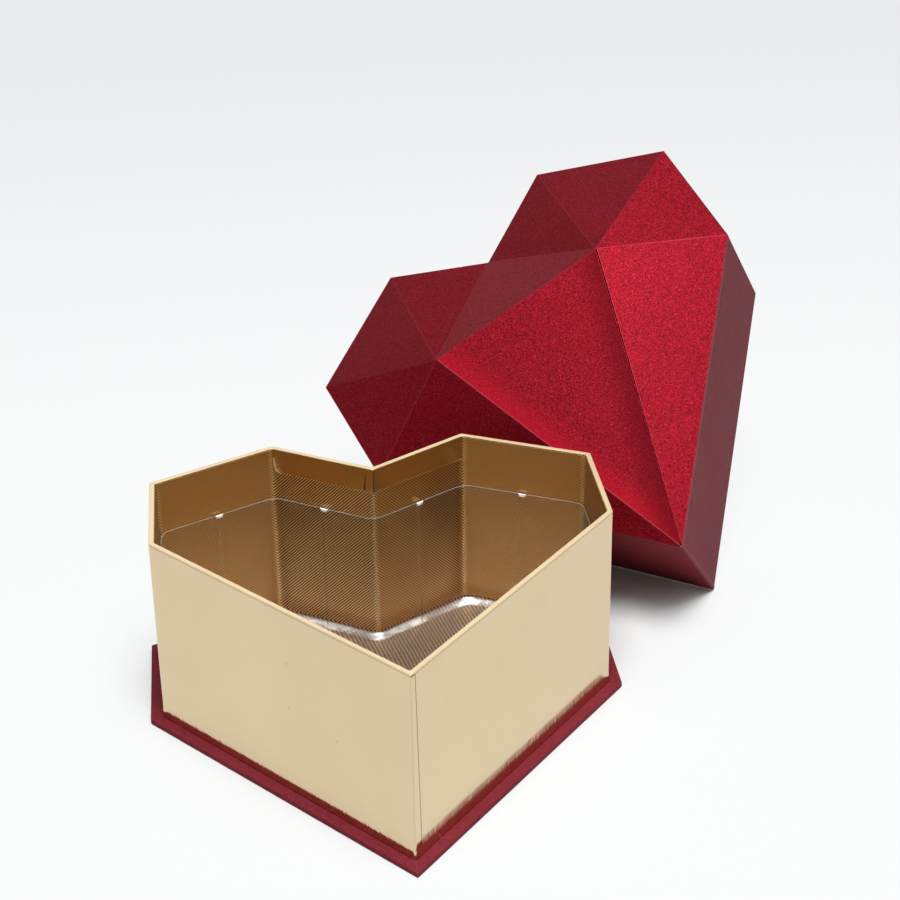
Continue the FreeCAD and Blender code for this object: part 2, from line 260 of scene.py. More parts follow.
def carried(heart, profile, bend, marks, place, press=None):
    """Points of a profile of (offset, height) pairs carried round a heart, as rows of stations."""
    rows = []
    for k, (offset, height) in enumerate(profile):
        stations = ring(heart, offset, bend, marks, 0.0 if press is None else press[k])
        rows.append(np.column_stack((stations, np.full(len(stations), height))))
    return place(np.concatenate(rows))


def paper_skin(name, heart, profile, bend, place, body, material, replaces):
    """A closed skin: a profile carried round a heart, with each station's distance from the
    corners. Returns the piece and its number of stations."""
    points = carried(heart, profile, bend, PLAIN, place)
    columns = len(points) // len(profile)
    faces = facing_out(points, grid_faces(len(profile), columns))
    fields = {"to_corner": np.tile(to_corner(heart, PLAIN), len(profile))}
    piece = make_piece(name, points, faces.tolist(), body, material, replaces, True, fields)
    return piece, columns


# ---------------------------------------------------------------- materials


class Wire:
    """A shader socket. Arithmetic on it adds Math nodes, and make() adds any other node."""

    def __init__(self, tree, socket=None):
        self.tree, self.socket = tree, socket

    def make(self, kind, settings=None, sockets=None, out=0):
        """A node of this kind, its settings set first, then its sockets' values or links."""
        node = self.tree.nodes.new("ShaderNode" + kind)
        for name, setting in (settings or {}).items():
            setattr(node, name, setting)
        for name, given in (sockets or {}).items():
            if isinstance(given, Wire):
                self.tree.links.new(given.socket, node.inputs[name])
            else:
                node.inputs[name].default_value = given
        return Wire(self.tree, node.outputs[out] if node.outputs else None)

    def math(self, operation, *others, clamp=False):
        settings = {"operation": operation, "use_clamp": clamp}
        return self.make("Math", settings, dict(enumerate((self, *others))))

    def __add__(self, other):
        return self.math("ADD", other)

    __radd__ = __add__

    def __sub__(self, other):
        return self.math("SUBTRACT", other)

    def __rsub__(self, other):
        return self.math("MULTIPLY_ADD", -1.0, other)

    def __mul__(self, other):
        return self.math("MULTIPLY", other)

    __rmul__ = __mul__

    def power(self, exponent):
        return self.math("POWER", exponent)

    def larger(self, other):
        return self.math("MAXIMUM", other)

    def smaller(self, other):
        return self.math("MINIMUM", other)

    def clamped(self):
        return self.math("MULTIPLY", 1.0, clamp=True)

    def between(self, low, high):
        """0 up to low, 1 from high on, and a smooth step in between."""
        settings = {"interpolation_type": "SMOOTHSTEP"}
        return self.make("MapRange", settings, {"Value": self, "From Min": low, "From Max": high})

    def rising(self, low, high):
        """between() for a length, its ends in millimetres."""
        return self.between(low * MM, high * MM)

    def mix(self, first, second):
        """The colour first where this is 0 and second where it is 1."""
        return self.make("Mix", {"data_type": "RGBA"}, {0: self, 6: first, 7: second}, 2)

    def scaled(self, scale):
        """This vector with each of its parts multiplied."""
        return self.make("VectorMath", {"operation": "MULTIPLY"}, {0: self, 1: scale})

    def along(self, direction):
        """This vector's dot product with a direction."""
        return self.make("VectorMath", {"operation": "DOT_PRODUCT"}, {0: self, 1: direction}, 1)

    def axis(self, number):
        return self.make("SeparateXYZ", None, {0: self}, number)

    def noise(self, scale, detail=2.0, roughness=0.5):
        sockets = {"Vector": self, "Scale": scale, "Detail": detail, "Roughness": roughness}
        return self.make("TexNoise", None, sockets)

    def flakes(self, scale):
        """One even random number from 0 to 1 in each cell of a Voronoi pattern."""
        cells = self.make("TexVoronoi", None, {"Vector": self, "Scale": scale}, 1)
        return cells.make("SeparateColor", None, {0: cells})


def rgb(red, green, blue):
    return (red, green, blue, 1.0)


def new_material(name):
    """An empty material, a Wire to make its nodes from, and its Object coordinates."""
    material = bpy.data.materials.new(name)
    material.use_nodes = True
    material.node_tree.nodes.clear()
    start = Wire(material.node_tree)
    where = start.make("TexCoord", None, None, "Object")
    return material, start, where


def principled(start, sockets):
    """Join a Principled shader with these sockets to the material's output."""
    shader = start.make("BsdfPrincipled", None, sockets)
    start.make("OutputMaterial", None, {"Surface": shader})


def bump(height, distance):
    return height.make("Bump", None, {"Height": height, "Distance": distance})


def stored(start, name):
    """A piece's own stored number, which is 0 on a piece that has none."""
    return start.make("Attribute", {"attribute_name": name}, None, "Fac")


def seam_lines(start, half_width):
    """1 on the mitre lines at a heart's corners and 0 away from them."""
    return 1 - stored(start, "to_corner").between(0.0, half_width)


def cut_edge_and_gap_shade(start):
    """1 on the cut edge of a sheet that laps over another, on the slits by the notch and on the tip
    panel's side face. Foil and pearl paper paint it dark, painted shade in the slits and by the
    panel; wine paper paints its cut edges lighter.
    """
    return stored(start, "cut_edge_and_gap_shade").clamped()


def pearl_red():
    """Pearl paper: fine mica flakes, lighter and darker, in a deep red ground. The central
    facet has painted light towards its left ridge and a painted shadow beside the tip panel,
    with a near-black painted shadow in the gap by the panel, and every ridge has a fine painted
    highlight line."""
    material, start, where = new_material("pearl_red")
    grain = where.flakes(2300.0)
    soft = where.noise(1100.0, 2.0, 0.6)
    cloud = where.noise(16.0, 3.0, 0.6)
    level = (grain - 0.5) * 0.9 + (soft - 0.5) * 0.85 + (cloud - 0.5) * 0.2 + 0.5
    ground = level.clamped().mix(rgb(0.10, 0.0012, 0.0048), rgb(0.335, 0.0095, 0.022))
    spark = grain.between(0.85, 1.0) * soft.between(0.5, 0.65)
    colour = (spark * 0.35).mix(ground, rgb(0.55, 0.05, 0.08))
    ridge = start.make("Attribute", {"attribute_name": "to_ridges"}, None, "Vector")
    central = stored(start, "central")
    to_panel, to_edge = ridge.axis(0), ridge.axis(2)
    # Painted light: the central facet is drawn brighter towards its left ridge.
    painted_ridge_light = central * (1 - to_edge.between(0.0, 16.0))
    colour = (painted_ridge_light * 0.35).mix(colour, rgb(0.56, 0.009, 0.024))
    # Painted shadow of the proud tip panel on the central facet beside it.
    painted_panel_shadow = central * (1 - to_panel.between(0.0, 17.0))
    colour = (painted_panel_shadow * 0.62).mix(colour, rgb(0.08, 0.0008, 0.003))
    # A fine painted highlight line along every ridge, stronger along the central facet's left
    # ridge.
    nearest = (to_panel + central * FAR).smaller(ridge.axis(1)).smaller(to_edge)
    painted_ridge_highlight = (1 - nearest.between(0.05, 0.5)) * (0.6 + soft * 0.8)
    lit_ridge = central * (1 - to_edge.between(0.3, 0.9))
    colour = (painted_ridge_highlight * 0.34 + lit_ridge * 0.5).clamped().mix(colour, rgb(0.62, 0.08, 0.11))
    # Near-black painted shadow in the gap beside the tip panel and on the panel's marked side face.
    painted_gap_shadow = (central * (1 - to_panel.between(0.2, 0.7))).larger(cut_edge_and_gap_shade(start))
    colour = (painted_gap_shadow * 0.92).mix(colour, rgb(0.015, 0.0002, 0.0008))
    principled(start, {
        "Base Color": colour,
        "Metallic": 0.75 + (grain - 0.5) * 0.2,
        "Roughness": 0.49 + (soft - 0.5) * 0.12,
        "Normal": bump(where.noise(1500.0, 1.0), 0.00006),
        "Specular IOR Level": 0.12,
    })
    return material


def wine_paper():
    """Satin pearl paper in wine red: faint grain, a few hair scratches and lighter mitre edges."""
    material, start, where = new_material("wine_paper")
    grain = where.flakes(1500.0)
    soft = where.noise(300.0, 3.0, 0.6)
    cloud = where.noise(14.0, 3.0, 0.6)
    level = ((grain - 0.5) * 0.35 + (soft - 0.5) * 0.5 + (cloud - 0.5) * 0.5 + 0.5).clamped()
    colour = level.mix(rgb(0.122, 0.0115, 0.0175), rgb(0.252, 0.035, 0.048))
    turned = where.make("Mapping", None, {
        "Vector": where, "Rotation": (0.6, 0.5, 0.2), "Scale": (30.0, 900.0, 30.0),
    })
    scratch = turned.noise(1.0, 0.0).between(0.80, 0.84)
    colour = (scratch * 0.2).mix(colour, rgb(0.38, 0.17, 0.17))
    edge = seam_lines(start, 0.5).larger(cut_edge_and_gap_shade(start)) * (0.4 + soft)
    colour = (edge * 0.42).mix(colour, rgb(0.42, 0.18, 0.18))
    principled(start, {
        "Base Color": colour,
        "Metallic": 0.1,
        "Roughness": 0.5 + (soft - 0.5) * 0.2,
        "Normal": bump(grain * 0.4 + soft, 0.00003),
        "Specular IOR Level": 0.03,
    })
    return material


def gold_foil():
    """Smooth mirror foil on board: slow upright ripples and a faint fine tooth, crumpled at its
    foot, with painted shade in the joint with the base, painted warmer where it is turned in, a
    painted reflection of the gold walls in each other, with a fold line below the rim and the
    rim itself worn pale. The crumple by the notch is painted pale as a highlight."""
    material, start, where = new_material("gold_foil")
    up = where.axis(2)
    foot = 1 - up.rising(BASE_TOP + 3, BASE_TOP + 8)
    ripple = where.scaled((1.0, 1.0, 0.3)).noise(850.0, 1.0, 0.5) * (foot * 1.6 + 0.1)
    wave = where.scaled((1.0, 1.0, 0.35)).noise(34.0, 2.0, 0.5)
    tooth = where.noise(1800.0, 1.0, 0.5)
    dull = where.noise(22.0, 3.0, 0.6)
    colour = dull.mix(rgb(0.68, 0.53, 0.325), rgb(0.74, 0.60, 0.395))
    speck = where.noise(230.0, 1.0, 0.4).between(0.80, 0.84)
    colour = (speck * 0.3).mix(colour, rgb(0.45, 0.32, 0.18))
    # Painted reflection: the turned-in foil is drawn warmer, as the gold walls reflect each other
    # there.
    inside = stored(start, "inside").clamped()
    colour = (inside * 0.9).mix(colour, rgb(0.84, 0.525, 0.19))
    # Painted shade: a dark line in the joint with the base, where the contact shadow falls.
    painted_contact_shade = 1 - up.rising(BASE_TOP + 0.15, BASE_TOP + 0.5)
    colour = (cut_edge_and_gap_shade(start).larger(painted_contact_shade) * 0.95).mix(colour, rgb(0.07, 0.035, 0.015))
    fold = up.rising(RIM - 1.15, RIM - 0.9) * (1 - up.rising(RIM - 0.75, RIM - 0.5))
    colour = (fold * (1 - inside) * 0.55).mix(colour, rgb(0.30, 0.16, 0.07))
    rim = up.rising(RIM - 0.34, RIM - 0.12) * (0.8 + dull * 0.3)
    # The rim is worn pale, and the same field paints the crumple by the notch pale as a painted
    # highlight.
    wear_and_glint = stored(start, "wear_and_glint").clamped().larger(rim).clamped()
    colour = wear_and_glint.mix(colour, rgb(0.76, 0.60, 0.36))
    principled(start, {
        "Base Color": colour,
        "Metallic": 1 - wear_and_glint * 0.75,
        "Roughness": 0.07 + dull * 0.07 + inside * 0.15 + wear_and_glint * 0.25,
        "Normal": bump(ripple * 0.35 + wave * 1.6 + tooth * 0.03, 0.0001),
    })
    return material


# The lining's ribs, from one to the next, in metres as a material reads them.
RIB_PITCH = 1.09 * MM


def ribbed_gold(phase_of, name):
    """Foil paper embossed with fine slanted ribs, their light and shade painted as stripes:
    phase_of gives the distance across them, in ribs, how dark their grooves are painted, and
    how much painted glint a ridge's top gets."""
    material, start, where = new_material(name)
    across, depth, painted_glint = phase_of(start, where)
    phase = across + (where.noise(30.0, 1.0) - 0.5) * 0.5
    rib = ((phase * (2 * math.pi)).math("SINE") * 0.5 + 0.5).between(0.08, 0.85)
    cloud = where.noise(38.0, 3.0, 0.65)
    # Painted shade in the grooves and painted light on the ridges of the embossing.
    shade = 0.55 + (rib - 0.58) * depth
    colour = shade.clamped().mix(rgb(0.15, 0.07, 0.017), rgb(0.98, 0.645, 0.28))
    colour = (cloud.between(0.35, 0.7) * 0.25).mix(colour, rgb(0.55, 0.32, 0.11))
    # Painted glint on the ridges' tops.
    colour = (rib.between(0.5, 0.9) * painted_glint).mix(colour, rgb(1.0, 0.85, 0.55))
    principled(start, {
        "Base Color": colour,
        "Metallic": 1.0,
        "Roughness": 0.30 + cloud * 0.14,
        "Normal": bump(rib * 0.4 + (where.noise(50.0, 1.0) * 1.5), 0.00008),
    })
    return material


def ribs_on_walls(start, where):
    """Slanted at 45 degrees, one way or the other: (distance round the heart + slant x height)
    / (pitch x root 2). The ribs are painted with the most contrast on the notch's left wall,
    where they catch the light, with a painted glint there and at all the corners."""
    around = start.make("UVMap", {"uv_map": "UVMap"}).axis(0)
    slant = stored(start, "slant")
    notch = (1 - slant) * 0.5
    right = where.axis(0).rising(-1.0, 1.0)
    # More painted contrast on the notch walls, most on the left one, where the ribs catch the
    # light.
    depth = notch * (1.04 - right * 0.64) + 0.22
    painted_glint = (seam_lines(start, 1.7) * 0.85).larger(notch * (1 - right) * 0.42)
    across = (around + where.axis(2) * slant) * (1 / (RIB_PITCH * math.sqrt(2)))
    return across, depth, painted_glint


def ribs_on_floor(start, where):
    """Nearly straight along the heart: (x + 0.2 y + z) / (pitch x 1.6)."""
    across = (where.axis(0) + where.axis(1) * 0.2 + where.axis(2)) * (1 / (RIB_PITCH * 1.6))
    return across, 1.0, 0.0


def ribs_in_lid(start, where):
    """Slanted in the lid's own frame, where no wall or facet faces along them: the point's
    distance along a fixed direction, over the pitch."""
    direction = LID_TURN @ unit(np.array((0.55, 0.35, 0.76)))
    return where.along(tuple(direction)) * (1 / RIB_PITCH), 0.5, 0.0


def clear_sheet():
    """Clear sheet: little but its gloss shows. Its top edge is whiter, its nibs get a painted
    highlight, the slanted band round its bottom is whiter in streaks as a painted reflection,
    and a thin painted shade line runs down the rib of each wall."""
    material, start, where = new_material("clear_sheet")
    height = where.axis(2)
    slant = start.make("LayerWeight", None, {"Blend": 0.5}, "Facing")
    fresnel = slant.power(5.0) * 0.95 + 0.025
    scuff = where.scaled((1.0, 1.0, 0.6)).noise(55.0, 4.0, 0.7).between(0.6, 0.8)
    edge = height.rising(TRAY_TOP - 0.45, TRAY_TOP - 0.2)
    bottom = 1 - height.rising(TRAY_FLOOR + 0.6, TRAY_FLOOR + 1.1)
    # Painted reflection: the slanted band is made whiter and less clear, in streaks.
    band = (1 - height.rising(TRAY_FLOOR + 2.2, TRAY_FLOOR + 3.4)) * (1 - bottom)
    painted_reflection_streak = where.scaled((1.0, 1.0, 3.0)).noise(48.0, 3.0, 0.7).between(0.42, 0.66)
    # Painted highlight: the nibs are made nearly opaque and white.
    nib = stored(start, "nib").clamped()
    # A thin painted shade line down each rib, darker and less clear.
    rib = stored(start, "painted_rib_shade").clamped()
    frost = scuff * 0.07 + edge * 0.14 + band * (0.10 + painted_reflection_streak * 0.35) + bottom * 0.02
    alpha = (fresnel * 1.1 + frost + nib * 0.95 + rib * 0.2).clamped()
    pale = (edge + nib + bottom * 0.5 + band * 0.45).clamped()
    colour = rib.mix(rgb(0.93, 0.94, 0.96), rgb(0.05, 0.035, 0.02))
    principled(start, {
        "Base Color": colour,
        "Metallic": 1 - (pale * 0.95).larger(rib),
        "Roughness": 0.22 + scuff * 0.2 + band * 0.12,
        "Alpha": alpha,
        "Normal": bump(where.noise(45.0, 1.0), 0.00015),
        "Specular IOR Level": 0.6,
    })
    return material


def greyboard():
    """Recycled board: grey-brown fibres and flecks."""
    material, start, where = new_material("greyboard")
    fibre = where.scaled((1.0, 3.0, 2.0)).noise(500.0, 4.0, 0.7)
    fleck = where.flakes(700.0).between(0.9, 0.97)
    colour = fibre.mix(rgb(0.26, 0.23, 0.20), rgb(0.46, 0.42, 0.37))
    colour = (fleck * 0.5).mix(colour, rgb(0.14, 0.12, 0.11))
    principled(start, {
        "Base Color": colour,
        "Roughness": 0.85 + fibre * 0.1,
        "Normal": bump(fibre, 0.0001),
    })
    return material


def kraft_tape():
    """Brown gummed paper tape with fine fibres along it."""
    material, start, where = new_material("kraft_tape")
    fibre = where.scaled((1.0, 1.0, 0.2)).noise(900.0, 3.0, 0.6)
    colour = fibre.mix(rgb(0.34, 0.22, 0.12), rgb(0.52, 0.37, 0.22))
    principled(start, {
        "Base Color": colour,
        "Roughness": 0.6 + fibre * 0.2,
        "Normal": bump(fibre, 0.00005),
    })
    return material


def sees_pale(start):
    """1 for rays from the camera, in gloss and through clear sheet, and 0 for all others."""
    kinds = ("Is Camera Ray", "Is Glossy Ray", "Is Transmission Ray")
    seen, glossy, through = (start.make("LightPath", None, None, kind) for kind in kinds)
    return (seen + glossy + through).smaller(1.0)


def studio_white():
    """The sweep: pale paper, painted a little greyer far behind the object where the light falls
    off, and a glow of the same colour for what sees_pale(), which keeps the ground pale. The
    glow is left out close under and beside the object, where the paper's own soft shadow shows."""
    material, start, where = new_material("studio_white")
    # Painted falloff: the sweep's paper and glow are drawn greyer far behind the object.
    far = where.axis(1).between(0.05, 1.05)
    tooth = where.noise(3.0, 2.0)
    colour = far.mix(rgb(0.66, 0.664, 0.668), rgb(0.64, 0.644, 0.656))
    glow_colour = far.mix(rgb(0.975, 0.985, 0.99), rgb(0.865, 0.872, 0.885))
    paper = start.make("BsdfPrincipled", None, {
        "Base Color": colour, "Roughness": 0.8 + tooth * 0.1,
    })
    glow = start.make("Emission", None, {"Color": glow_colour, "Strength": 1.0})
    open_air = start.make("AmbientOcclusion", {"samples": 8}, {"Distance": 0.09}, "AO")
    share = sees_pale(start) * open_air.between(0.1, 0.9) * 0.88
    surface = start.make("MixShader", None, {0: share, 1: paper, 2: glow})
    start.make("OutputMaterial", None, {"Surface": surface})
    return material


PEARL = pearl_red()
WINE = wine_paper()
FOIL = gold_foil()
RIBBED_WALL = ribbed_gold(ribs_on_walls, "ribbed_gold_wall")
RIBBED_SHEET = ribbed_gold(ribs_on_floor, "ribbed_gold_sheet")
RIBBED_LID = ribbed_gold(ribs_in_lid, "ribbed_gold_lid")
CLEAR = clear_sheet()
GREYBOARD = greyboard()
KRAFT = kraft_tape()
STUDIO = studio_white()


# ---------------------------------------------------------------- carried-over CAD nodes


def dress_nodes():
    """Each CAD node's own slots get the material of its record slot."""
    slot_of = {row["node"]: row["material_slot"] for row in frame["record"]["subparts"]}
    finish = {
        "greyboard": GREYBOARD,
        "gummed_tape": KRAFT,
        "ribbed_gold_paper": RIBBED_SHEET,
        "wine_paper": WINE,
        "pearl_red_paper": PEARL,
        "gold_foil_paper": FOIL,
        "clear_sheet": CLEAR,
    }
    for name, node in frame["nodes"].items():
        node.data.materials.clear()
        in_lid = name in ("skirt_lining", "crown_lining")
        node.data.materials.append(RIBBED_LID if in_lid else finish[slot_of[name]])


# ---------------------------------------------------------------- base and box


def base_cover():
    """The wrapped base board: under, edge, and the border turned in over the top, with its
    step down to the bare board under the box."""
    border, turned = BASE_BORDER, BASE_BORDER - WIDE_TURN_IN
    profile = softened([
        (turned, 0.0, 0.0), (border, 0.0, 0.45), (border, BASE_TOP, 0.45), (turned, BASE_TOP, 0.1),
    ])
    paper_skin("base_cover", BOX_HEART, profile, 0.5, upright, "box", WINE,
               ("base_wrap",))


def base_underside():
    """The sheet under the base board, inside the turned-in border's ring."""
    stations = ring(BOX_HEART, BASE_BORDER - 15.0, 0.5, (0,))
    low = np.column_stack((stations, np.full(len(stations), 0.05)))
    high = low + np.array((0, 0, PAPER - 0.1))
    count = len(stations)
    fields = {"to_corner": np.full(2 * count, FAR)}
    make_piece("base_underside", np.concatenate((low, high)), prism_faces(count), "box",
               WINE, (), False, fields)


def gold_skin():
    """Foil up the outside from a foot that flares out a little, over the rim and turned down
    inside it."""
    fold, flare, flare_top = RIM - TURN_IN, 0.62, BASE_TOP + 5.6
    profile = softened([
        (flare, BASE_TOP, 0.0), (0, flare_top, 1.6), (0, RIM, 0.55), (-WALL, RIM, 0.5),
        (-WALL, fold, 0.08), (-WALL + PAPER, fold, 0.0), (-WALL + PAPER, RIM - PAPER, 0.05),
        (-PAPER, RIM - PAPER, 0.05), (-PAPER, BASE_TOP, 0.0),
    ])
    piece, columns = paper_skin("gold_skin", BOX_HEART, profile, 0.9, upright, "box",
                                FOIL, ("box_wrap",))
    # The turned-in foil is marked for its painted warmer colour and rougher finish.
    turned_in = (profile[:, 0] < -WALL + 0.05) & (profile[:, 1] < RIM - 0.3)
    store(piece.data, "inside", "POINT", np.repeat(turned_in, columns))


def wall_lining():
    """Ribbed paper round the inside, up to the rim, but only up to the turned-in foil on the
    two walls of the notch, where its ribs slant the other way."""
    inner, outer = -(WALL + GLUE), -(PAPER + BOARD + GLUE)
    bend = 1.6
    low, fold = (corner.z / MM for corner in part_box("box_wall_lining"))
    profile = softened([
        (outer, low, 0.0), (outer, fold, 0.0), (inner, fold, 0.08), (inner, low, 0.0),
    ])
    points = carried(BOX_HEART, profile, bend, PLAIN, upright)
    columns = len(points) // len(profile)
    per_corner, half_bend = columns // SIDES, CORNER_STEPS // 2
    station = np.arange(columns)
    smooth_top = (station >= RIGHT_SHOULDER * per_corner + half_bend)
    smooth_top &= (station <= LEFT_SHOULDER * per_corner + half_bend)
    grid = points.reshape(len(profile), columns, 3)
    raised = np.where(smooth_top, 0.0, RIM - 0.7 - fold)
    grid[:, :, 2] += np.where(grid[:, :, 2] > low + 1, raised[None], 0.0)
    faces = facing_out(points, grid_faces(len(profile), columns))
    around = from_tip(ring(BOX_HEART, 0, bend, PLAIN))
    uv = np.stack(np.meshgrid(around, profile[:, 1]), -1).reshape(-1, 2)
    fields = {"to_corner": np.tile(to_corner(BOX_HEART, PLAIN), len(profile))}
    piece = make_piece("wall_lining", points, faces.tolist(), "box",
                       RIBBED_WALL, ("box_wall_lining",), True, fields, uv)
    store(piece.data, "slant", "FACE", np.where(smooth_top[faces % columns].all(1), -1.0, 1.0))


def tray():
    """A thin shell: walls that lean in from the top edge to a slanted band round a flat bottom,
    with round corners. Each wall has a shallow half-round rib in its middle, pressed in by
    depth x (1 - (along / half width)^2)^0.5, with a small nib of that shape at its top."""
    sheet, top = 0.4, -(WALL + GLUE) - 0.8
    foot, low, knee = top - 4.4, TRAY_FLOOR, TRAY_FLOOR + 2.4
    bottom, lip = foot - 4.6, TRAY_TOP - 1.4
    nib_foot = lip + 0.3
    outside = [
        (bottom - 4, low, 0.0), (bottom, low, 0.8), (foot, knee, 1.6), (top - 0.12, lip, 0.0),
        (top - 0.1, nib_foot, 0.0), (top, TRAY_TOP, 0.15),
    ]
    inside = [
        (top - sheet, TRAY_TOP, 0.15), (top - sheet - 0.1, nib_foot, 0.0),
        (top - sheet - 0.12, lip, 0.0), (foot - sheet, knee + sheet, 1.6),
        (bottom - sheet, low + sheet, 0.8), (bottom - sheet - 4, low + sheet, 0.0),
    ]
    profile = softened(outside + inside)
    offset, height = profile.T
    marks = np.concatenate(([-18, -8], np.arange(-4, 4.1, 0.5), [8, 18]))
    rib_depth, rib_half, nib_depth, nib_half = 0.4, 2.0, 0.9, 1.9
    rib = np.clip(1 - (marks / rib_half) ** 2, 0, 1) ** 0.5
    nib = np.clip(1 - (marks / nib_half) ** 2, 0, 1) ** 0.5
    share = np.clip((height - knee - 3) / 8, 0, 1) * np.clip((TRAY_TOP - height) / 1.3, 0.25, 1)
    in_nib = (offset < top - sheet + 0.01) & (height > lip + 0.2)
    press = np.outer(rib_depth * share * ~in_nib, rib) + np.outer(nib_depth * in_nib, nib)
    points = carried(BOX_HEART, profile, 5.0, marks, upright, press)
    columns = len(points) // len(profile)
    walls = grid_faces(len(profile), columns, closed_rows=False)
    last = (len(profile) - 1) * columns
    caps = [list(range(columns))[::-1], list(range(last, last + columns))]
    if volume(points, walls) < 0:
        walls, caps = walls[:, ::-1], [cap[::-1] for cap in caps]

    def on_walls(at_marks):
        """Numbers at a side's marks, repeated on each side, with 0 round each corner."""
        return np.tile(np.concatenate((np.zeros(CORNER_STEPS), at_marks)), SIDES)

    # The nibs get a painted highlight, and a line down each rib a painted shade, from these fields.
    fields = {
        "nib": np.outer(np.clip((height - lip) / 0.3, 0, 1), on_walls(np.abs(marks) < 1.6)),
        "painted_rib_shade": np.outer((height > knee - 1) & (height < lip + 0.1),
                             on_walls((np.abs(marks - 1.0) < 0.1) * 0.9)),
    }
    make_piece("tray_shell", points, walls.tolist() + caps, "tray", CLEAR,
               ("clear_tray",), True, fields)


def lapped_edge(name, heart, number, bend, reach, levels, place, body, material):
    """The edge of a skin that laps round a corner onto the next side, a thin raised strip.

    Its plan runs from the middle of the corner's bend, round to reach along the side, and
    back one paper deeper. reach goes in a straight line from its low to its high value.
    """
    rows = []
    for far, level in zip(reach, levels):
        plans = []
        for offset in (PAPER * 0.9, -PAPER * 0.3):
            corners = heart + offset * mitres(heart)
            ahead = unit(np.roll(corners, -1, 0) - corners)[number]
            stations = ring(heart, offset, bend, (0,)).reshape(len(heart), -1, 2)
            stations = stations[number, CORNER_STEPS // 2:-1]
            past = corners[number] + ahead * np.array([[far - 0.7], [far]])
            plans.append(np.concatenate((stations, past)))
        plan = np.concatenate((plans[0], plans[1][::-1]))
        rows.append(np.column_stack((plan, np.full(len(plan), level))))
    count = len(rows[0])
    points = place(np.concatenate(rows))
    faces = prism_faces(count)
    if volume(points - points.mean(0), np.array(faces[:count])) < 0:
        faces = [face[::-1] for face in faces]
    cut = np.zeros(count)
    cut[count // 2 - 1: count // 2 + 1] = 1
    fields = {"cut_edge_and_gap_shade": np.tile(cut, 2), "to_corner": np.full(2 * count, FAR)}
    make_piece(name, points, faces, body, material, (), True, fields)


def patches(name, outlines, depth, place, body, material, field="to_corner"):
    """Thin flat plates: each outline of points and its copy moved by depth along its normal.
    The named field is far from 0 all over them."""
    points, faces = [], []
    for outline in outlines:
        outline = np.asarray(outline, float)
        normal = unit(np.cross(outline[1] - outline[0], outline[2] - outline[0]))
        first, count = sum(len(part) for part in points), len(outline)
        points += [outline - normal * depth * 0.3, outline + normal * depth]
        faces += prism_faces(count, first)
    points = place(np.concatenate(points))
    fields = {field: np.full(len(points), FAR)}
    make_piece(name, points, faces, body, material, (), False, fields)


def inside_point(number, along, height, lift=0.0):
    """A point on the inner face of the gold wall, along the side after a corner or, where along
    is negative, the side before it, and lifted off that face."""
    corners = BOX_HEART - WALL * mitres(BOX_HEART)
    towards = corners[(number + (1 if along > 0 else -1)) % len(corners)] - corners[number]
    side = number if along > 0 else number - 1
    point = corners[number] + unit(towards) * abs(along) - side_normals(BOX_HEART)[side] * lift
    return (*point, height)


def rim_tucks():
    """Where the turned-in foil was cut and tucked: a slant lap in the notch, a small crumple
    at its left shoulder painted pale as a highlight, and a narrow slit on either side of the notch
    painted dark as shade in the gap."""

    def triangle(number, *corners):
        """Three inside points from (along, depth below the rim, lift) rows."""
        return [inside_point(number, along, RIM - depth, lift) for along, depth, lift in corners]

    def tuck(name, outlines, depth, mark="to_corner"):
        patches(name, outlines, depth, upright, "box", FOIL, mark)

    tuck("rim_tucks", [triangle(NOTCH, (-0.4, 0.8, 0), (-6.0, 11.5, 0), (-0.4, 11.8, 0))], 0.16)
    # The crumple is painted pale, a painted highlight of the crumpled foil.
    tuck("rim_crumple", [
        triangle(LEFT_SHOULDER, (-0.4, 8.5, 0.3), (-4.6, 11.9, 0.9), (-1.6, 11.3, 0.5)),
        triangle(LEFT_SHOULDER, (-0.6, 4.5, 0.2), (-2.0, 8.8, 0.8), (-0.5, 8.2, 0.3)),
    ], 0.16, "wear_and_glint")
    # The slits are thin plates painted dark, painted shade in the gaps of the cut foil.
    tuck("rim_slits", [
        triangle(NOTCH, (3.4, 1.0, 0), (4.1, 11.0, 0), (4.9, 11.6, 0)),
        triangle(NOTCH, (-0.15, 1.0, 0), (-0.8, 12.0, 0), (-0.15, 12.0, 0)),
    ], 0.1, "cut_edge_and_gap_shade")


def base_folds():
    """The lapped mitre at each corner of the base's turned-in border, widest at the tip."""
    outer = BOX_HEART + (BASE_BORDER - 0.5) * mitres(BOX_HEART)
    inner = BOX_HEART + 0.15 * mitres(BOX_HEART)
    back = unit(np.roll(inner, 1, 0) - inner)
    third = inner + back * np.where(np.arange(SIDES) == TIP, 3.5, 0.7)[:, None]
    level = np.full((SIDES, 1), BASE_TOP)
    rings = [np.hstack((part, level)) for part in (outer, inner, third)]
    patches("base_folds", np.stack(rings, 1), 0.14, upright, "box", WINE)


# ---------------------------------------------------------------- lid


def skirt_skin():
    """Satin paper up the outside of the skirt, round its open edge and turned in."""
    edge, top = -SKIRT_DEPTH, -CROWN_EDGE - 0.3
    turned = edge + WIDE_TURN_IN
    profile = softened([
        (0, top, 0.15), (0, edge, 0.5), (-WALL, edge, 0.5), (-WALL, turned, 0.08),
        (-WALL + PAPER, turned, 0.0), (-WALL + PAPER, edge + PAPER, 0.05),
        (-PAPER, edge + PAPER, 0.05), (-PAPER, top, 0.0),
    ])
    paper_skin("skirt_skin", LID_HEART, profile, 0.6, leaning, "lid", WINE,
               ("skirt_wrap",))


# The crown's facets: numbers 0 to 7 are the rim's corners, 8 and 9 the right and left peaks.
FACETS = np.array([
    (9, 0, 8), (0, 1, 8), (1, 2, 8), (2, 3, 8), (3, 4, 8),
    (8, 4, 9), (4, 5, 9), (5, 6, 9), (6, 7, 9), (7, 0, 9),
])
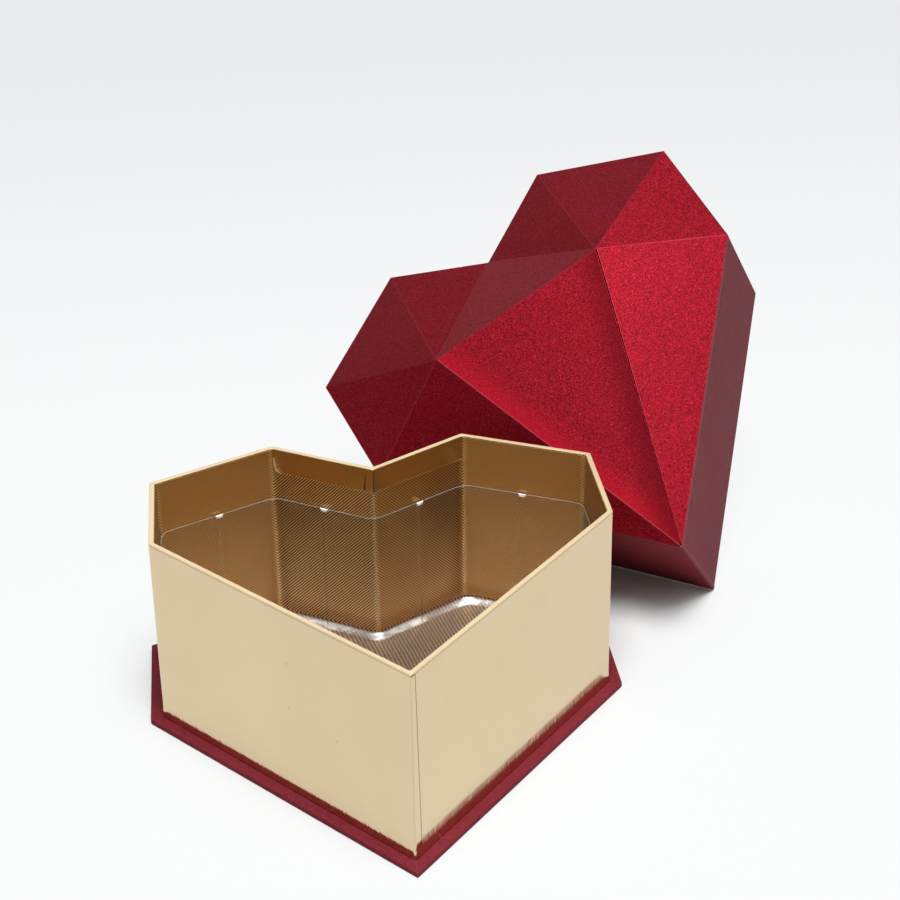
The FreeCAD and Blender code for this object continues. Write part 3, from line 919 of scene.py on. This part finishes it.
# The big facet from the tip to both peaks, and the tip facet on its right.
CENTRAL, TIP_FACET = 0, 1


def crown_corners(out, rim_height, drop):
    """The lid's eight rim corners moved out, then its right and left peaks lowered by drop."""
    rim = LID_HEART + out * mitres(LID_HEART)
    rim = np.column_stack((rim, np.full(SIDES, rim_height)))
    (across, ahead), height = PEAK, CROWN_HEIGHT - drop
    return np.concatenate((rim, [(across, ahead, height), (-across, ahead, height)]))


def ridge_distances(piece, facets, band=None):
    """Store on the corners of a piece's first triangles how far each lies from its three sides.

    Corner k is twice the facet's area over the opposite side's length from that side, and 0
    from the other two. Every later corner is far from them all, but for the edge band's eight
    quads, which start at corner number band and give the distance from its lower side.
    """
    two_sides = facets[:, 1] - facets[:, 0], facets[:, 2] - facets[:, 0]
    doubled = np.linalg.norm(np.cross(*two_sides), axis=1)[:, None]
    opposite = np.linalg.norm(np.roll(facets, -1, 1) - np.roll(facets, 1, 1), axis=2)
    far = np.full((len(piece.data.loops), 3), FAR)
    far[:3 * len(facets)] = ((doubled / opposite)[:, :, None] * np.eye(3)).reshape(-1, 3)
    if band is not None:
        far[band:band + 4 * SIDES, 0] = np.tile((CROWN_EDGE, 0, 0, CROWN_EDGE), SIDES)
    ridges = piece.data.attributes.new("to_ridges", "FLOAT_VECTOR", "CORNER")
    ridges.data.foreach_set("vector", far.astype(np.float32).ravel())


def crown_skin():
    """Ten facets, their edge band, and the same below at one paper's depth, closed."""
    outer = crown_corners(0.0, 0.0, 0.0)
    band = np.column_stack((LID_HEART, np.full(SIDES, -CROWN_EDGE)))
    inner = crown_corners(-PAPER, -PAPER, PAPER * 1.1)
    inner_band = inner[:SIDES] * (1, 1, 0) + (0, 0, -CROWN_EDGE)
    points = leaning(np.concatenate((outer, band, inner, inner_band)))
    # Where each of those groups of points starts, and each side's two ends in a group.
    foot, under, under_foot = len(outer), len(outer) + SIDES, 2 * len(outer) + SIDES
    k, n = np.arange(SIDES), (np.arange(SIDES) + 1) % SIDES
    faces = FACETS.tolist() + (FACETS[:, ::-1] + under).tolist()
    faces += np.stack((k, k + foot, n + foot, n), 1).tolist()
    faces += np.stack((k + foot, k + under_foot, n + under_foot, n + foot), 1).tolist()
    faces += np.stack((k + under_foot, k + under, n + under, n + under_foot), 1).tolist()
    piece = make_piece("crown_skin", points, faces, "lid", PEARL,
                       ("crown_wrap",), False)
    ridge_distances(piece, points[FACETS], band=2 * FACETS.size)
    store(piece.data, "central", "FACE", np.arange(len(faces)) == CENTRAL)
    ends = np.zeros(len(piece.data.edges) * 2, np.int32)
    piece.data.edges.foreach_get("vertices", ends)
    store(piece.data, "bevel_weight_edge", "EDGE", ends.reshape(-1, 2).max(1) < len(outer))
    bevel = piece.modifiers.new("soft_ridges", "BEVEL")
    bevel.width, bevel.segments, bevel.limit_method = 0.5 * MM, 3, "WEIGHT"
    bevel.use_clamp_overlap = False


def tip_panel():
    """The right tip facet's own wrapped board, which stands a little proud along the ridge that
    it shares with the central facet."""
    flat = crown_corners(0.0, 0.0, 0.0)[FACETS[TIP_FACET]]
    normal = unit(np.cross(flat[1] - flat[0], flat[2] - flat[0]))
    # How far each of its corners, at the tip, the rim and the peak, is drawn in and stands proud.
    drawn_in = np.array([[0.4], [0.4], [0.2]])
    proud = np.array([[0.8], [0.25], [1.9]])
    flat = flat + unit(flat.mean(0) - flat) * drawn_in
    points = leaning(np.concatenate((flat + normal * proud, flat - normal * 0.15)))
    faces = [[0, 1, 2], [5, 4, 3], [0, 3, 4, 1], [1, 4, 5, 2], [2, 5, 3, 0]]
    piece = make_piece("tip_panel", points, faces, "lid", PEARL, (), False)
    bevel = piece.modifiers.new("soft_edges", "BEVEL")
    bevel.width, bevel.segments, bevel.limit_method = 0.18 * MM, 2, "NONE"
    ridge_distances(piece, points[None, :3])
    # Its side face along the ridge with the central facet is marked to be painted near-black, a
    # painted shadow in that gap.
    store(piece.data, "cut_edge_and_gap_shade", "FACE", np.arange(len(faces)) == len(faces) - 1)


# ---------------------------------------------------------------- stage


def sweep():
    """A floor that turns up behind: flat, then a quarter circle with y = bend + r sin a and
    z = r (1 - cos a), then upright."""
    radius, bend_at, half_width = 1200.0, 1500.0, 3500.0
    angle = np.linspace(0, math.pi / 2, 17)
    y = np.concatenate(([-3000, 0, 800], bend_at + radius * np.sin(angle), [bend_at + radius]))
    z = np.concatenate(([0, 0, 0], radius * (1 - np.cos(angle)), [3500]))
    x = np.array([-half_width, 0, half_width])
    grid = np.stack(np.broadcast_arrays(x[None], y[:, None], z[:, None]), -1).reshape(-1, 3)
    r, c = np.arange(len(y) - 1)[:, None], np.arange(2)[None]
    first = r * 3 + c
    faces = np.stack((first, first + 1, first + 4, first + 3), -1).reshape(-1, 4)
    make_piece("studio_sweep", grid, faces.tolist(), None, STUDIO)


def soft_light(name, place, target, size, power):
    """A square area lamp at place that faces target."""
    light = bpy.data.lights.new(name, "AREA")
    light.shape, light.size, light.energy = "SQUARE", size, power
    lamp = bpy.data.objects.new(name, light)
    lamp.location = place
    direction = Vector(target) - Vector(place)
    lamp.rotation_euler = direction.to_track_quat("-Z", "Y").to_euler()
    bpy.context.scene.collection.objects.link(lamp)


def studio_air():
    """A dim even sky, pale to what sees_pale() near and below the horizon."""
    dim, pale = 0.12, 0.92
    world = bpy.data.worlds.new("studio_air")
    bpy.context.scene.world = world
    world.use_nodes = True
    world.node_tree.nodes.clear()
    start = Wire(world.node_tree)
    low = 1 - start.make("TexCoord", None, None, "Generated").axis(2).between(0.04, 0.24)
    strength = sees_pale(start) * low * (pale - dim) + dim
    air = start.make("Background", None, {"Color": rgb(1, 1, 1), "Strength": strength})
    start.make("OutputWorld", None, {"Surface": air})


def studio():
    """The sweep, one softbox overhead and the air round it."""
    sweep()
    soft_light("key", (0.10, -0.50, 1.98), (0.10, 0.05, 0.12), 1.0, 56.0)
    studio_air()


def camera():
    """Looks down at the box from the front left, turned about X, then Y, then Z."""
    data = bpy.data.cameras.new("view")
    data.lens, data.sensor_width = 83.0, 36.0
    data.clip_start, data.clip_end = 0.05, 20.0
    eye = bpy.data.objects.new("view", data)
    eye.location = (-0.05849, -0.79814, 0.53154)
    eye.rotation_euler = [math.radians(angle) for angle in (62.3714, 0.7317, -6.8800)]
    bpy.context.scene.collection.objects.link(eye)
    bpy.context.scene.camera = eye


dress_nodes()
base_cover()
base_underside()
base_folds()
gold_skin()
lapped_edge("gold_seam", BOX_HEART, TIP, 0.9, (5.0, 3.0), (BASE_TOP + 0.3, RIM - 0.8), upright,
            "box", FOIL)
rim_tucks()
wall_lining()
tray()
skirt_skin()
lapped_edge("skirt_seam", LID_HEART, TIP, 0.6, (2.6, 2.0), (0.6 - SKIRT_DEPTH, -CROWN_EDGE - 0.6),
            leaning, "lid", WINE)
crown_skin()
tip_panel()
studio()
camera()
bpy.context.scene.view_settings.view_transform = "Standard"
